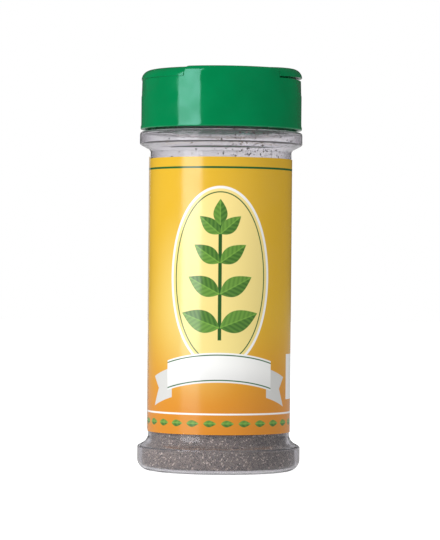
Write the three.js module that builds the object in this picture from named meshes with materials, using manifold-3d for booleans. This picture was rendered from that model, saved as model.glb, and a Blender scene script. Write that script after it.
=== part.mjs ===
// Herb shaker jar: a clear plastic jar with a flip-top screw cap, a wrap label and a fill of dried basil.
// Millimetres, +Z up. The origin is the middle of the base, on the surface that the jar stands on.
// The cap's centre bar runs along Y, and its two flaps open away to the left (-X) and the right (+X).
// The label's front faces -Y, turned a little towards -X.

import * as THREE from "three";
import { mergeVertices } from "three/addons/utils/BufferGeometryUtils.js";
import Module from "manifold-3d";

const wasm = await Module();
wasm.setup();

// Fineness of the round shapes
const ROUND_SIDES = 48;
const HOLE_SIDES = 12;
const CORNER_STEPS = 3;
const FLANK_STEPS = 3;
const WELD = 1e-4;

// Jar, from the base up
const RING_RADIUS = 29.05;
const PANEL_RADIUS = 25.2;
const WALL = 0.8;
const FOOT_INNER = 20.4;
const FOOT_OUTER = 24.9;
const PUSH_UP = 3;
const FLARE_TOP = 13;
const FLARE_FILLET = 3.8;
const LEDGE_TURN = THREE.MathUtils.degToRad(62);
const LEDGE_CORNER = 0.9;
const BEAD_START = 113.2;
const BEAD_FILLET = 1.6;
const BEAD_HIGH = 119.6;
const BEAD_CORNER = 1.1;
const LIP = 137.8;

// Screw thread on the neck and in the cap
const THREAD_PITCH = 4.2;
const THREAD_TURNS = 1.2;
const THREAD_START = 126.5;
const THREAD_DEPTH = 1.2;
const THREAD_SINK = 0.35;
const THREAD_ROOT_HALF = 1.1;
const THREAD_CREST_HALF = 0.45;
const THREAD_RUN_OUT = 0.12;

// Label
const LABEL_BOTTOM = 13.9;
const LABEL_TOP = 111;
const LABEL_RADIUS = 25.35;
const LABEL_THICKNESS = 0.15;
const LABEL_LAP = THREE.MathUtils.degToRad(18);
const LABEL_LAP_RAMP = THREE.MathUtils.degToRad(14);
const LABEL_LAP_LIFT = 0.2;
const LABEL_END = THREE.MathUtils.degToRad(179.25);

// Cap
const CAP_BOTTOM = 121.5;
const CAP_TOP = 142.7;
const CAP_RADIUS = 28.65;
const CAP_BORE = 27.3;
const HEM_FLARE = 0.2;
const HEM_HEIGHT = 1;
const DECK_UNDER = 138.1;
const DECK_TOP = 139.1;
const SEAL_OUTER = 23.9;
const SEAL_INNER = 23.1;
const SEAL_DEPTH = 3.2;
const BAR_EDGE = 2;
const SCOOP_TOP_DEPTH = 0.3;
const SCOOP_FOOT_DEPTH = 0.1;
const SCOOP_HALF_WIDTH = 15;
const SCOOP_HEIGHT = 6;
const COLLAR_RADIUS = 26.6;
const COLLAR_WALL = 0.9;
const COLLAR_TOP = 140.2;
const COLLAR_HALF_WIDTH = 20;

// Flaps: a hinge edge beside the bar, with corners that sweep out to the rim
const HINGE_X = 6.5;
const HINGE_Z = 142.55;
const HINGE_HALF = 8.8;
const CORNER_RADIUS = 15;
const CORNER_SWEEP = THREE.MathUtils.degToRad(72);
const FLAP_GAP = 0.3;
const FLAP_SEAT = 0.2;
const FLAP_TOP = 142.5;
const FLAP_WALL = 1.4;
const FLAP_AJAR = THREE.MathUtils.degToRad(2.8);

// Openings in the deck and what closes them
const SPOON_INSET = 3.5;
const SPOON_RADIUS = 22.4;
const PLUG_CLEARANCE = 0.4;
const PLUG_WALL = 0.9;
const PLUG_REACH = 0.6;
const HOLE_RADIUS = 2.7;
const HOLE_PITCH = 6.9;
const HOLE_ROWS = [
  { x: -11.2, holes: 5 },
  { x: -17.2, holes: 4 },
];
const NUB_CLEARANCE = 0.5;
const NUB_REACH = 0.4;

// Fill
const FILL_TOP = 99;
const FILL_HEAP = 2.5;
const FILL_CLEARANCE = 0.35;
const FILL_RING_GAP = 1.3;
const FILL_RING_TOP = 7.2;
const FILL_WAIST = 9.6;
const FILL_SIDES = 36;
const FILL_ROWS = 10;
const FILL_TOP_RINGS = 6;
const CRUMB_HEIGHT = 0.9;
const CRUMB_FADE = 4;

const jarPlastic = new THREE.MeshStandardMaterial({
  name: "clear_plastic",
  color: 0xe3e6e6,
  roughness: 0.08,
  metalness: 0,
  transparent: true,
  opacity: 0.35,
});
const labelFilm = new THREE.MeshStandardMaterial({
  name: "label_film",
  color: 0xe9b245,
  roughness: 0.35,
  metalness: 0,
});
const capPlastic = new THREE.MeshStandardMaterial({
  name: "green_plastic",
  color: 0x087d45,
  roughness: 0.22,
  metalness: 0,
});
const driedLeaf = new THREE.MeshStandardMaterial({
  name: "dried_leaf",
  color: 0x6b6a4c,
  roughness: 0.9,
  metalness: 0,
});

/** Eases from 0 to 1 with flat ends. */
function ease(t) {
  return t * t * (3 - 2 * t);
}

/** Points of an S-shaped flank from one radius and height to another. */
function flank(fromRadius, fromZ, toRadius, toZ) {
  const points = [];
  for (let i = 0; i <= FLANK_STEPS; i += 1) {
    const t = i / FLANK_STEPS;
    const radius = THREE.MathUtils.lerp(fromRadius, toRadius, ease(t));
    points.push(new THREE.Vector2(radius, THREE.MathUtils.lerp(fromZ, toZ, t)));
  }
  return points;
}

/** Points of an arc about a centre in the profile plane. */
function arc(centreRadius, centreZ, radius, fromAngle, toAngle, steps = CORNER_STEPS) {
  const points = [];
  for (let i = 0; i <= steps; i += 1) {
    const angle = THREE.MathUtils.lerp(fromAngle, toAngle, i / steps);
    const x = centreRadius + radius * Math.cos(angle);
    points.push(new THREE.Vector2(x, centreZ + radius * Math.sin(angle)));
  }
  return points;
}

/** Moves an open profile sideways, to the left of its direction of travel. */
function offsetProfile(points, distance) {
  const leftOf = (a, b) => new THREE.Vector2(a.y - b.y, b.x - a.x).normalize();
  return points.map((point, i) => {
    const before = leftOf(points[Math.max(i - 1, 0)], points[Math.max(i, 1)]);
    const last = points.length - 1;
    const after = leftOf(points[Math.min(i, last - 1)], points[Math.min(i + 1, last)]);
    const middle = before.clone().add(after).normalize();
    return point.clone().addScaledVector(middle, distance / middle.dot(after));
  });
}

/** Turns a profile of radius and height about the Z axis. */
function turned(points, sides = ROUND_SIDES) {
  return new THREE.LatheGeometry(points, sides).rotateX(Math.PI / 2);
}

/** Turns a closed geometry into a solid that can be joined and cut. */
function solidOf(geometry) {
  const bare = geometry.clone();
  bare.deleteAttribute("normal");
  bare.deleteAttribute("uv");
  const merged = mergeVertices(bare, WELD);
  const corners = merged.index.array;
  const kept = [];
  for (let i = 0; i < corners.length; i += 3) {
    const [a, b, c] = corners.slice(i, i + 3);
    if (a !== b && b !== c && c !== a) kept.push(a, b, c);
  }
  return new wasm.Manifold(new wasm.Mesh({
    numProp: 3,
    vertProperties: merged.attributes.position.array,
    triVerts: new Uint32Array(kept),
  }));
}

/** Turns a solid back into a geometry. */
function geometryOf(solid) {
  const mesh = solid.getMesh();
  const geometry = new THREE.BufferGeometry();
  geometry.setAttribute("position", new THREE.BufferAttribute(mesh.vertProperties, mesh.numProp));
  geometry.setIndex(new THREE.BufferAttribute(mesh.triVerts, 1));
  geometry.computeVertexNormals();
  return geometry;
}

/** A named mesh of a solid. */
function part(name, solid, material) {
  const mesh = new THREE.Mesh(geometryOf(solid), material);
  mesh.name = name;
  return mesh;
}

/** A flat outline raised between two heights. */
function raised(shape, fromZ, toZ) {
  const options = { depth: toZ - fromZ, bevelEnabled: false, curveSegments: HOLE_SIDES };
  return solidOf(new THREE.ExtrudeGeometry(shape, options).translate(0, 0, fromZ));
}

/** An upright round bar between two heights. */
function roundBar(x, y, radius, fromZ, toZ, sides = HOLE_SIDES) {
  const bar = new THREE.CylinderGeometry(radius, radius, toZ - fromZ, sides).rotateX(Math.PI / 2);
  return solidOf(bar.translate(x, y, (fromZ + toZ) / 2));
}

/** A screw ridge of trapezoid section that climbs a wall; depth is negative for one that points inwards. */
function threadRidge(wallRadius, depth, startZ) {
  const steps = Math.round(ROUND_SIDES * THREAD_TURNS);
  const sink = Math.sign(depth) * THREAD_SINK;
  const positions = [];
  const index = [];
  for (let i = 0; i <= steps; i += 1) {
    const t = i / steps;
    const angle = t * THREAD_TURNS * 2 * Math.PI;
    const fade = Math.min(1, t / THREAD_RUN_OUT, (1 - t) / THREAD_RUN_OUT);
    const root = wallRadius - sink;
    const crest = wallRadius + depth * fade;
    const z = startZ + t * THREAD_TURNS * THREAD_PITCH;
    const section = [
      [root, z - THREAD_ROOT_HALF],
      [crest, z - THREAD_CREST_HALF],
      [crest, z + THREAD_CREST_HALF],
      [root, z + THREAD_ROOT_HALF],
    ];
    for (const [radius, height] of section) {
      positions.push(radius * Math.cos(angle), radius * Math.sin(angle), height);
    }
  }
  const quad = (a, b, c, d) => index.push(a, b, c, a, c, d);
  for (let i = 0; i < steps; i += 1) {
    for (let j = 0; j < 4; j += 1) {
      const next = (j + 1) % 4;
      quad(4 * i + j, 4 * i + 4 + j, 4 * i + 4 + next, 4 * i + next);
    }
  }
  quad(0, 1, 2, 3);
  quad(4 * steps + 3, 4 * steps + 2, 4 * steps + 1, 4 * steps);
  if (depth < 0) index.reverse();
  const geometry = new THREE.BufferGeometry();
  geometry.setAttribute("position", new THREE.Float32BufferAttribute(positions, 3));
  geometry.setIndex(index);
  return solidOf(geometry);
}

/** Ledge from the panel out to a ring, up (1) or down (-1): a hollow fillet, a slope and a rounded corner. */
function ledge(panelZ, fillet, direction) {
  const hollow = arc(PANEL_RADIUS + fillet, 0, fillet, Math.PI, Math.PI - LEDGE_TURN);
  const slopeStart = hollow[hollow.length - 1];
  const cornerCentre = RING_RADIUS - LEDGE_CORNER;
  const slopeRun = cornerCentre + LEDGE_CORNER * Math.cos(LEDGE_TURN) - slopeStart.x;
  const rise = slopeStart.y + slopeRun / Math.tan(LEDGE_TURN) + LEDGE_CORNER * Math.sin(LEDGE_TURN);
  const round = arc(cornerCentre, rise, LEDGE_CORNER, -LEDGE_TURN, 0);
  return [...hollow, ...round].map((point) => new THREE.Vector2(point.x, panelZ + direction * point.y));
}

/** Outside of the jar, from the middle of its underside up to the lip. */
function jarOutside() {
  const heel = RING_RADIUS - FOOT_OUTER;
  return [
    new THREE.Vector2(0, PUSH_UP),
    new THREE.Vector2(FOOT_INNER * 0.35, PUSH_UP * 0.9),
    new THREE.Vector2(FOOT_INNER * 0.8, PUSH_UP * 0.3),
    new THREE.Vector2(FOOT_INNER, 0),
    ...arc(FOOT_OUTER, heel, heel, -Math.PI / 2, 0),
    ...ledge(FLARE_TOP, FLARE_FILLET, -1).reverse(),
    ...ledge(BEAD_START, BEAD_FILLET, 1),
    ...arc(RING_RADIUS - BEAD_CORNER, BEAD_HIGH, BEAD_CORNER, 0, Math.PI / 2),
    new THREE.Vector2(PANEL_RADIUS, BEAD_HIGH + BEAD_CORNER),
    new THREE.Vector2(PANEL_RADIUS, LIP),
  ];
}

/** Inside of the jar, from the middle of its floor up to the lip. */
function jarInside() {
  const inside = offsetProfile(jarOutside(), WALL);
  inside[0].x = 0;
  return inside;
}

function makeJar() {
  const shell = solidOf(turned([...jarOutside(), ...jarInside().reverse()]));
  const jar = shell.add(threadRidge(PANEL_RADIUS, THREAD_DEPTH, THREAD_START));
  return part("jar", jar, jarPlastic);
}

/** The film goes once round and laps over its own start, where it climbs by a little more than itself. */
function makeLabel() {
  const around = 2 * Math.PI + LABEL_LAP;
  const steps = Math.round(ROUND_SIDES * around / (2 * Math.PI));
  const inner = [];
  const outer = [];
  for (let i = 0; i <= steps; i += 1) {
    const travelled = around * i / steps;
    const climb = THREE.MathUtils.clamp((travelled - 2 * Math.PI + LABEL_LAP_RAMP) / LABEL_LAP_RAMP, 0, 1);
    const radius = LABEL_RADIUS + LABEL_LAP_LIFT * ease(climb);
    const angle = LABEL_END - around + travelled;
    const direction = new THREE.Vector2(Math.cos(angle), Math.sin(angle));
    inner.push(direction.clone().multiplyScalar(radius));
    outer.push(direction.clone().multiplyScalar(radius + LABEL_THICKNESS));
  }
  const film = raised(new THREE.Shape([...outer, ...inner.reverse()]), LABEL_BOTTOM, LABEL_TOP);
  return part("label", film, labelFilm);
}

/** Outline of a flap on the right, drawn in by an inset on the bar's side and left open past the rim. */
function flapOutline(inset) {
  const beyond = 2 * CAP_RADIUS;
  const radius = CORNER_RADIUS - inset;
  const centreX = HINGE_X + CORNER_RADIUS;
  const sweepX = centreX - radius * Math.cos(CORNER_SWEEP);
  const sweepY = HINGE_HALF + radius * Math.sin(CORNER_SWEEP);
  const beyondY = sweepY + (beyond - sweepX) / Math.tan(CORNER_SWEEP);
  const shape = new THREE.Shape();
  shape.absarc(centreX, -HINGE_HALF, radius, Math.PI + CORNER_SWEEP, Math.PI, true);
  shape.absarc(centreX, HINGE_HALF, radius, Math.PI, Math.PI - CORNER_SWEEP, true);
  shape.lineTo(beyond, beyondY);
  shape.lineTo(beyond, -beyondY);
  shape.closePath();
  return shape;
}

/** Right-hand flap-shaped prism, cut round by a radius about the cap's axis. */
function flapPlate(inset, radius, fromZ, toZ) {
  const disc = roundBar(0, 0, radius, fromZ, toZ, ROUND_SIDES);
  return raised(flapOutline(inset), fromZ, toZ).intersect(disc);
}

/** The same solid on the cap's other side. */
function otherSide(solid) {
  return solidOf(geometryOf(solid).rotateZ(Math.PI));
}

/** Skirt, deck and seal ring in one turning. */
function capShell() {
  return solidOf(turned([
    new THREE.Vector2(0, DECK_UNDER),
    new THREE.Vector2(SEAL_INNER, DECK_UNDER),
    new THREE.Vector2(SEAL_INNER, DECK_UNDER - SEAL_DEPTH),
    new THREE.Vector2(SEAL_OUTER, DECK_UNDER - SEAL_DEPTH),
    new THREE.Vector2(SEAL_OUTER, DECK_UNDER),
    new THREE.Vector2(CAP_BORE, DECK_UNDER),
    new THREE.Vector2(CAP_BORE, CAP_BOTTOM),
    new THREE.Vector2(CAP_RADIUS + HEM_FLARE, CAP_BOTTOM),
    new THREE.Vector2(CAP_RADIUS + HEM_FLARE, CAP_BOTTOM + HEM_HEIGHT),
    new THREE.Vector2(CAP_RADIUS, CAP_BOTTOM + 2 * HEM_HEIGHT),
    new THREE.Vector2(CAP_RADIUS, DECK_TOP),
    new THREE.Vector2(0, DECK_TOP),
  ]));
}

/** Bar between the flaps: a full round top with both flap shapes taken out. */
function capBar() {
  const top = solidOf(turned([
    new THREE.Vector2(0, DECK_UNDER),
    new THREE.Vector2(CAP_RADIUS, DECK_UNDER),
    ...arc(CAP_RADIUS - BAR_EDGE, CAP_TOP - BAR_EDGE, BAR_EDGE, 0, Math.PI / 2),
    new THREE.Vector2(0, CAP_TOP),
  ]));
  const away = raised(flapOutline(0), DECK_TOP, CAP_TOP + 1);
  return top.subtract(away).subtract(otherSide(away));
}

/** Thumb recess in the skirt under the right-hand flap's lip, deepest at its top. */
function thumbScoop() {
  const groove = solidOf(turned([
    new THREE.Vector2(CAP_RADIUS - SCOOP_FOOT_DEPTH, DECK_TOP - SCOOP_HEIGHT),
    new THREE.Vector2(CAP_RADIUS + 1, DECK_TOP - SCOOP_HEIGHT),
    new THREE.Vector2(CAP_RADIUS + 1, DECK_TOP + 1),
    new THREE.Vector2(CAP_RADIUS - SCOOP_TOP_DEPTH, DECK_TOP + 1),
    new THREE.Vector2(CAP_RADIUS - SCOOP_FOOT_DEPTH, DECK_TOP - SCOOP_HEIGHT),
  ]));
  const window = new THREE.CylinderGeometry(1, 1, CAP_RADIUS, 2 * HOLE_SIDES).rotateZ(Math.PI / 2);
  window.scale(1, SCOOP_HALF_WIDTH, SCOOP_HEIGHT).translate(CAP_RADIUS, 0, DECK_TOP);
  return groove.intersect(solidOf(window));
}

/** Raised collar on the deck that the right-hand flap's rim closes over. */
function rimCollar() {
  const ring = solidOf(turned([
    new THREE.Vector2(COLLAR_RADIUS - COLLAR_WALL, DECK_UNDER),
    new THREE.Vector2(COLLAR_RADIUS, DECK_UNDER),
    new THREE.Vector2(COLLAR_RADIUS, COLLAR_TOP),
    new THREE.Vector2(COLLAR_RADIUS - COLLAR_WALL, COLLAR_TOP),
    new THREE.Vector2(COLLAR_RADIUS - COLLAR_WALL, DECK_UNDER),
  ]));
  const stretch = new THREE.BoxGeometry(CAP_RADIUS, 2 * COLLAR_HALF_WIDTH, CAP_TOP);
  return ring.intersect(solidOf(stretch.translate(CAP_RADIUS, 0, CAP_TOP)));
}

/** Calls a function with the place of each sifter hole. */
function eachHole(visit) {
  for (const row of HOLE_ROWS) {
    for (let i = 0; i < row.holes; i += 1) visit(row.x, (i - (row.holes - 1) / 2) * HOLE_PITCH);
  }
}

function makeCap() {
  let cap = capShell().add(capBar());
  cap = cap.add(threadRidge(CAP_BORE, -THREAD_DEPTH, THREAD_START - THREAD_PITCH / 2));
  cap = cap.subtract(flapPlate(SPOON_INSET, SPOON_RADIUS, DECK_UNDER - 1, DECK_TOP + 1));
  eachHole((x, y) => {
    cap = cap.subtract(roundBar(x, y, HOLE_RADIUS, DECK_UNDER - 1, DECK_TOP + 1));
  });
  const collar = rimCollar();
  cap = cap.add(collar).add(otherSide(collar));
  const scoop = thumbScoop();
  cap = cap.subtract(scoop).subtract(otherSide(scoop));
  return part("cap", cap, capPlastic);
}

/** Right-hand half lid: a plate with a rounded shoulder and a thin wall all round its edge. */
function flapLid() {
  const lip = DECK_TOP + FLAP_SEAT;
  const shoulder = FLAP_TOP - lip;
  const outside = solidOf(turned([
    new THREE.Vector2(0, lip),
    ...arc(CAP_RADIUS - shoulder, lip, shoulder, 0, Math.PI / 2),
    new THREE.Vector2(0, FLAP_TOP),
  ]));
  const inside = solidOf(turned([
    new THREE.Vector2(0, lip - 1),
    new THREE.Vector2(CAP_RADIUS - FLAP_WALL, lip - 1),
    ...arc(CAP_RADIUS - shoulder, lip, shoulder - FLAP_WALL, 0, Math.PI / 2),
    new THREE.Vector2(0, FLAP_TOP - FLAP_WALL),
  ]));
  const plan = raised(flapOutline(FLAP_GAP), lip, FLAP_TOP + 1);
  const hollow = raised(flapOutline(FLAP_GAP + FLAP_WALL), lip - 1, FLAP_TOP);
  return outside.intersect(plan).subtract(inside.intersect(hollow));
}

/** A flap hangs on its hinge line, so its group can swing it. */
function hungFlap(name, solid, side) {
  const mesh = part(name, solid, capPlastic);
  mesh.position.set(-side * HINGE_X, 0, -HINGE_Z);
  const hinge = new THREE.Group();
  hinge.position.set(side * HINGE_X, 0, HINGE_Z);
  hinge.add(mesh);
  return hinge;
}

/** The spoon flap has a rib that drops into the spoon opening. */
function makeSpoonFlap() {
  const top = FLAP_TOP - FLAP_WALL / 2;
  const foot = DECK_TOP - PLUG_REACH;
  const inset = SPOON_INSET + PLUG_CLEARANCE;
  const radius = SPOON_RADIUS - PLUG_CLEARANCE;
  const rib = flapPlate(inset, radius, foot, top);
  const bore = flapPlate(inset + PLUG_WALL, radius - PLUG_WALL, foot - 1, FLAP_TOP - FLAP_WALL);
  const hinge = hungFlap("spoon_flap", flapLid().add(rib.subtract(bore)), 1);
  hinge.rotation.y = -FLAP_AJAR;
  return hinge;
}

/** The sifter flap has a nub over each sifter hole. */
function makeSifterFlap() {
  let lid = otherSide(flapLid());
  eachHole((x, y) => {
    const radius = HOLE_RADIUS - NUB_CLEARANCE;
    lid = lid.add(roundBar(x, y, radius, DECK_TOP - NUB_REACH, FLAP_TOP - FLAP_WALL / 2));
  });
  return hungFlap("sifter_flap", lid, -1);
}

/** Uneven relief of packed flakes: whole waves round the jar, so that it meets itself. */
function crumb(angle, along) {
  const coarse = Math.sin(7 * angle + 0.9 * along) * Math.sin(11 * angle - 1.7 * along + 1.1);
  const fine = Math.sin(17 * angle + 2.9 * along + 2.3) * Math.sin(13 * angle - 4.1 * along);
  return 0.5 + 0.3 * coarse + 0.2 * fine;
}

/** The fill stands just clear of the jar's wall, pitted inwards, under a low crumbly heap. */
function makeFill() {
  const heel = RING_RADIUS - FOOT_OUTER;
  const ringRadius = RING_RADIUS - WALL - FILL_RING_GAP;
  const wallRadius = PANEL_RADIUS - WALL - FILL_CLEARANCE;
  const floor = offsetProfile(jarInside(), FILL_CLEARANCE).filter((point) => point.y < heel);
  for (const point of floor) point.x = Math.min(point.x, ringRadius);
  floor[0].x = 0;
  const wall = flank(ringRadius, FILL_RING_TOP, wallRadius, FILL_WAIST);
  for (let i = 1; i <= FILL_ROWS; i += 1) {
    wall.push(new THREE.Vector2(wallRadius, THREE.MathUtils.lerp(FILL_WAIST, FILL_TOP, i / FILL_ROWS)));
  }
  const heap = [];
  for (let i = 1; i <= FILL_TOP_RINGS; i += 1) {
    const t = i / FILL_TOP_RINGS;
    heap.push(new THREE.Vector2(wallRadius * (1 - t), FILL_TOP + FILL_HEAP * ease(t)));
  }
  const geometry = turned([...floor, ...wall, ...heap], FILL_SIDES);
  const place = geometry.attributes.position;
  for (let i = 0; i < place.count; i += 1) {
    const x = place.getX(i);
    const y = place.getY(i);
    const z = place.getZ(i);
    const radius = Math.hypot(x, y);
    const relief = CRUMB_HEIGHT * crumb(Math.atan2(y, x), z + radius) * Math.min(1, radius / CRUMB_FADE);
    if (z > FILL_TOP) {
      place.setZ(i, z + relief);
    } else if (z > heel) {
      const drawn = (radius - relief) / radius;
      place.setXY(i, x * drawn, y * drawn);
    }
  }
  return part("dried_basil", solidOf(geometry), driedLeaf);
}

const shaker = new THREE.Group();
shaker.name = "herb_shaker_jar";
shaker.add(makeJar(), makeLabel(), makeCap(), makeSifterFlap(), makeSpoonFlap(), makeFill());

export default shaker;
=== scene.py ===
"""Looks of the herb shaker jar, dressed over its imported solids.

A clear blown jar with a printed wrap label stands on a pale floor. It holds crumbled dried leaves and is shut
by a green screw cap with two half flaps. Lengths are metres in the part's own frame, +Z up, and the viewer
stands on the -Y side.
"""

import logging
import math
from dataclasses import dataclass
from enum import Enum
from typing import Iterable, Sequence, Union

import bpy
import numpy as np
from mathutils import Matrix, Vector


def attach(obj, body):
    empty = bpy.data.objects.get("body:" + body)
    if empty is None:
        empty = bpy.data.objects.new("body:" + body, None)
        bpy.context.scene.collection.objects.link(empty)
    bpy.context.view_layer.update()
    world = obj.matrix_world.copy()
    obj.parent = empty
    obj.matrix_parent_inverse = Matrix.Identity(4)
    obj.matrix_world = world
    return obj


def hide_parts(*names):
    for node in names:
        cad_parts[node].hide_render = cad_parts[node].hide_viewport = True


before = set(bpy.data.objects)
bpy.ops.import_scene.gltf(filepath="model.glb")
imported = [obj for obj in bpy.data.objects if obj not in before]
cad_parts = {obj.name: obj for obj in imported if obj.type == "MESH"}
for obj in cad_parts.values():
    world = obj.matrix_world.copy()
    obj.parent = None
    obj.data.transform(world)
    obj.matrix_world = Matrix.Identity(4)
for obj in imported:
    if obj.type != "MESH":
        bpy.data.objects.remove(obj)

LOG = logging.getLogger("herb_shaker")
MM = 0.001
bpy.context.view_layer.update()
ROOT_BODY = "shaker"
# Way that the label's front faces, in degrees about Z from +X.
FRONT = -98.75

Point = tuple[float, float]
Colour = tuple[float, float, float]
Wire = Union[bpy.types.NodeSocket, float, tuple]


class Side(Enum):
    """Which side of the cap's bar a flap lies on, as a sign along X."""

    SIFTER = -1
    SPOON = 1


class Cut(Enum):
    """How one solid acts on another."""

    JOIN = "UNION"
    TAKE = "DIFFERENCE"
    KEEP = "INTERSECT"


def eased(t: float) -> float:
    """Eases from 0 to 1 with flat ends."""
    return t * t * (3 - 2 * t)


def lerp(a: float, b: float, t: float) -> float:
    """Goes straight from a to b."""
    return a + (b - a) * t


def flank(start: Point, end: Point, steps: int = 14) -> list[Point]:
    """Draws an S-shaped flank between two profile points.

    Args:
        start: First radius and height.
        end: Last radius and height.
        steps: How many chords the flank is cut into.

    Returns:
        The flank's points, both ends among them.
    """
    shares = [i / steps for i in range(steps + 1)]
    return [(lerp(start[0], end[0], eased(t)), lerp(start[1], end[1], t)) for t in shares]


def arc(centre: Point, radius: float, start: float, end: float, steps: int = 12) -> list[Point]:
    """Draws an arc.

    Args:
        centre: Its centre.
        radius: Its radius.
        start: Angle it starts from, in degrees.
        end: Angle it ends at, in degrees.
        steps: How many chords it is cut into.

    Returns:
        The arc's points, both ends among them.
    """
    angles = [math.radians(lerp(start, end, i / steps)) for i in range(steps + 1)]
    return [(centre[0] + radius * math.cos(a), centre[1] + radius * math.sin(a)) for a in angles]


def circle(centre: Point, radius: float, sides: int) -> list[Point]:
    """Draws a whole circle, without its first point again at its end."""
    return arc(centre, radius, 0.0, 360.0 * (sides - 1) / sides, sides - 1)


def straight(start: Point, end: Point, steps: int) -> list[Point]:
    """Divides a straight line.

    Args:
        start: First point.
        end: Last point.
        steps: How many equal lengths it is cut into.

    Returns:
        The points, without either end.
    """
    return [(lerp(start[0], end[0], i / steps), lerp(start[1], end[1], i / steps)) for i in range(1, steps)]


def offset(points: Sequence[Point], distance: float) -> list[Point]:
    """Moves an open profile sideways, to the left of its direction of travel.

    Args:
        points: The profile.
        distance: How far it moves.

    Returns:
        The moved profile, with as many points.
    """
    def left_of(a: Point, b: Point) -> Vector:
        """Gives the unit normal on the left of a chord."""
        return Vector((a[1] - b[1], b[0] - a[0])).normalized()

    last = len(points) - 1
    moved = []
    for i, point in enumerate(points):
        before = left_of(points[max(i - 1, 0)], points[max(i, 1)])
        after = left_of(points[min(i, last - 1)], points[min(i + 1, last)])
        middle = (before + after).normalized()
        reach = distance / middle.dot(after)
        moved.append((point[0] + middle.x * reach, point[1] + middle.y * reach))
    return moved


def new_piece(name: str, vertices: Iterable, faces: Iterable) -> bpy.types.Object:
    """Makes a mesh object in the scene.

    Args:
        name: Name of the object and its mesh.
        vertices: Places in metres.
        faces: Corner numbers of each face.

    Returns:
        The new object.
    """
    mesh = bpy.data.meshes.new(name)
    mesh.from_pydata([tuple(v) for v in vertices], [], [tuple(f) for f in faces])
    mesh.update()
    piece = bpy.data.objects.new(name, mesh)
    bpy.context.scene.collection.objects.link(piece)
    return piece


def turned(name: str, profile: Sequence[Point], sides: int) -> bpy.types.Object:
    """Turns a profile about the Z axis.

    Args:
        name: Name of the new object.
        profile: Radius and height of each point in millimetres, outside on the right of travel.
            It starts and ends on the axis, or closes on itself.
        sides: How many sides the round has.

    Returns:
        The closed solid.
    """
    vertices: list[tuple[float, float, float]] = []
    rings: list[list[int]] = []
    turn = [2 * math.pi * j / sides for j in range(sides)]
    for radius, height in profile:
        start = len(vertices)
        if radius < 1e-6:
            vertices.append((0.0, 0.0, height * MM))
            rings.append([start] * sides)
            continue
        for angle in turn:
            vertices.append((radius * MM * math.cos(angle), radius * MM * math.sin(angle), height * MM))
        rings.append(list(range(start, start + sides)))
    faces = []
    closes = profile[0][0] > 1e-6
    for i in range(len(rings) if closes else len(rings) - 1):
        low, high = rings[i], rings[(i + 1) % len(rings)]
        for j in range(sides):
            k = (j + 1) % sides
            corners = dict.fromkeys((low[j], low[k], high[k], high[j]))
            if len(corners) > 2:
                faces.append(tuple(corners))
    return new_piece(name, vertices, faces)


def prism(name: str, outline: Sequence[Point], low: float, high: float) -> bpy.types.Object:
    """Raises a flat outline between two heights.

    Args:
        name: Name of the new object.
        outline: Corners in millimetres, counter-clockwise.
        low: Height of the underside in millimetres.
        high: Height of the top in millimetres.

    Returns:
        The closed solid.
    """
    count = len(outline)
    vertices = [(x * MM, y * MM, z * MM) for z in (low, high) for x, y in outline]
    faces = [tuple(reversed(range(count))), tuple(range(count, 2 * count))]
    faces += [(i, (i + 1) % count, count + (i + 1) % count, count + i) for i in range(count)]
    return new_piece(name, vertices, faces)


def settle(piece: bpy.types.Object) -> bpy.types.Object:
    """Puts a piece's modifiers into its mesh and takes them off.

    Args:
        piece: The object to settle.

    Returns:
        The same object.
    """
    graph = bpy.context.evaluated_depsgraph_get()
    graph.update()
    done = piece.evaluated_get(graph)
    mesh = bpy.data.meshes.new_from_object(done, preserve_all_data_layers=True, depsgraph=graph)
    piece.modifiers.clear()
    old = piece.data
    piece.data = mesh
    bpy.data.meshes.remove(old)
    mesh.name = piece.name
    return piece


def drop(piece: bpy.types.Object) -> None:
    """Removes a helper object and its mesh."""
    mesh = piece.data
    bpy.data.objects.remove(piece)
    bpy.data.meshes.remove(mesh)


def shape(piece: bpy.types.Object, tool: bpy.types.Object, cut: Cut) -> bpy.types.Object:
    """Cuts or joins one solid by another, which is used up.

    Args:
        piece: The solid that is shaped.
        tool: The solid that shapes it.
        cut: What the tool does.

    Returns:
        The shaped solid.
    """
    job = piece.modifiers.new("cut", "BOOLEAN")
    job.operation = cut.value
    job.solver = "MANIFOLD"
    job.object = tool
    settle(piece)
    drop(tool)
    return piece


def turn_in_place(piece: bpy.types.Object, angle: float, axis: str, about: Vector) -> bpy.types.Object:
    """Turns a piece's mesh, so that its object stays at the origin.

    Args:
        piece: The object to turn.
        angle: Angle in radians.
        axis: X, Y or Z.
        about: A point on the axis of the turn.

    Returns:
        The same object.
    """
    there = Matrix.Translation(about)
    piece.data.transform(there @ Matrix.Rotation(angle, 4, axis) @ there.inverted())
    return piece


def soften(piece: bpy.types.Object, width: float, steps: int = 2, crease: float = 38.0) -> bpy.types.Object:
    """Rounds the sharp edges of a moulded solid and smooths its faces.

    Args:
        piece: The solid.
        width: Width of the rounding in metres, or 0 for none.
        steps: Chords in the rounding.
        crease: Edges sharper than this angle in degrees are rounded or kept sharp.

    Returns:
        The same object.
    """
    if width:
        bevel = piece.modifiers.new("edge", "BEVEL")
        bevel.width = width
        bevel.segments = steps
        bevel.limit_method = "ANGLE"
        bevel.angle_limit = math.radians(crease)
        bevel.use_clamp_overlap = True
        settle(piece)
    piece.data.shade_smooth()
    piece.data.set_sharp_from_angle(angle=math.radians(crease))
    return piece


def paint(piece: bpy.types.Object, finish: bpy.types.Material) -> None:
    """Gives a piece one finish, in place of any that it has."""
    piece.data.materials.clear()
    piece.data.materials.append(finish)


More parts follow.
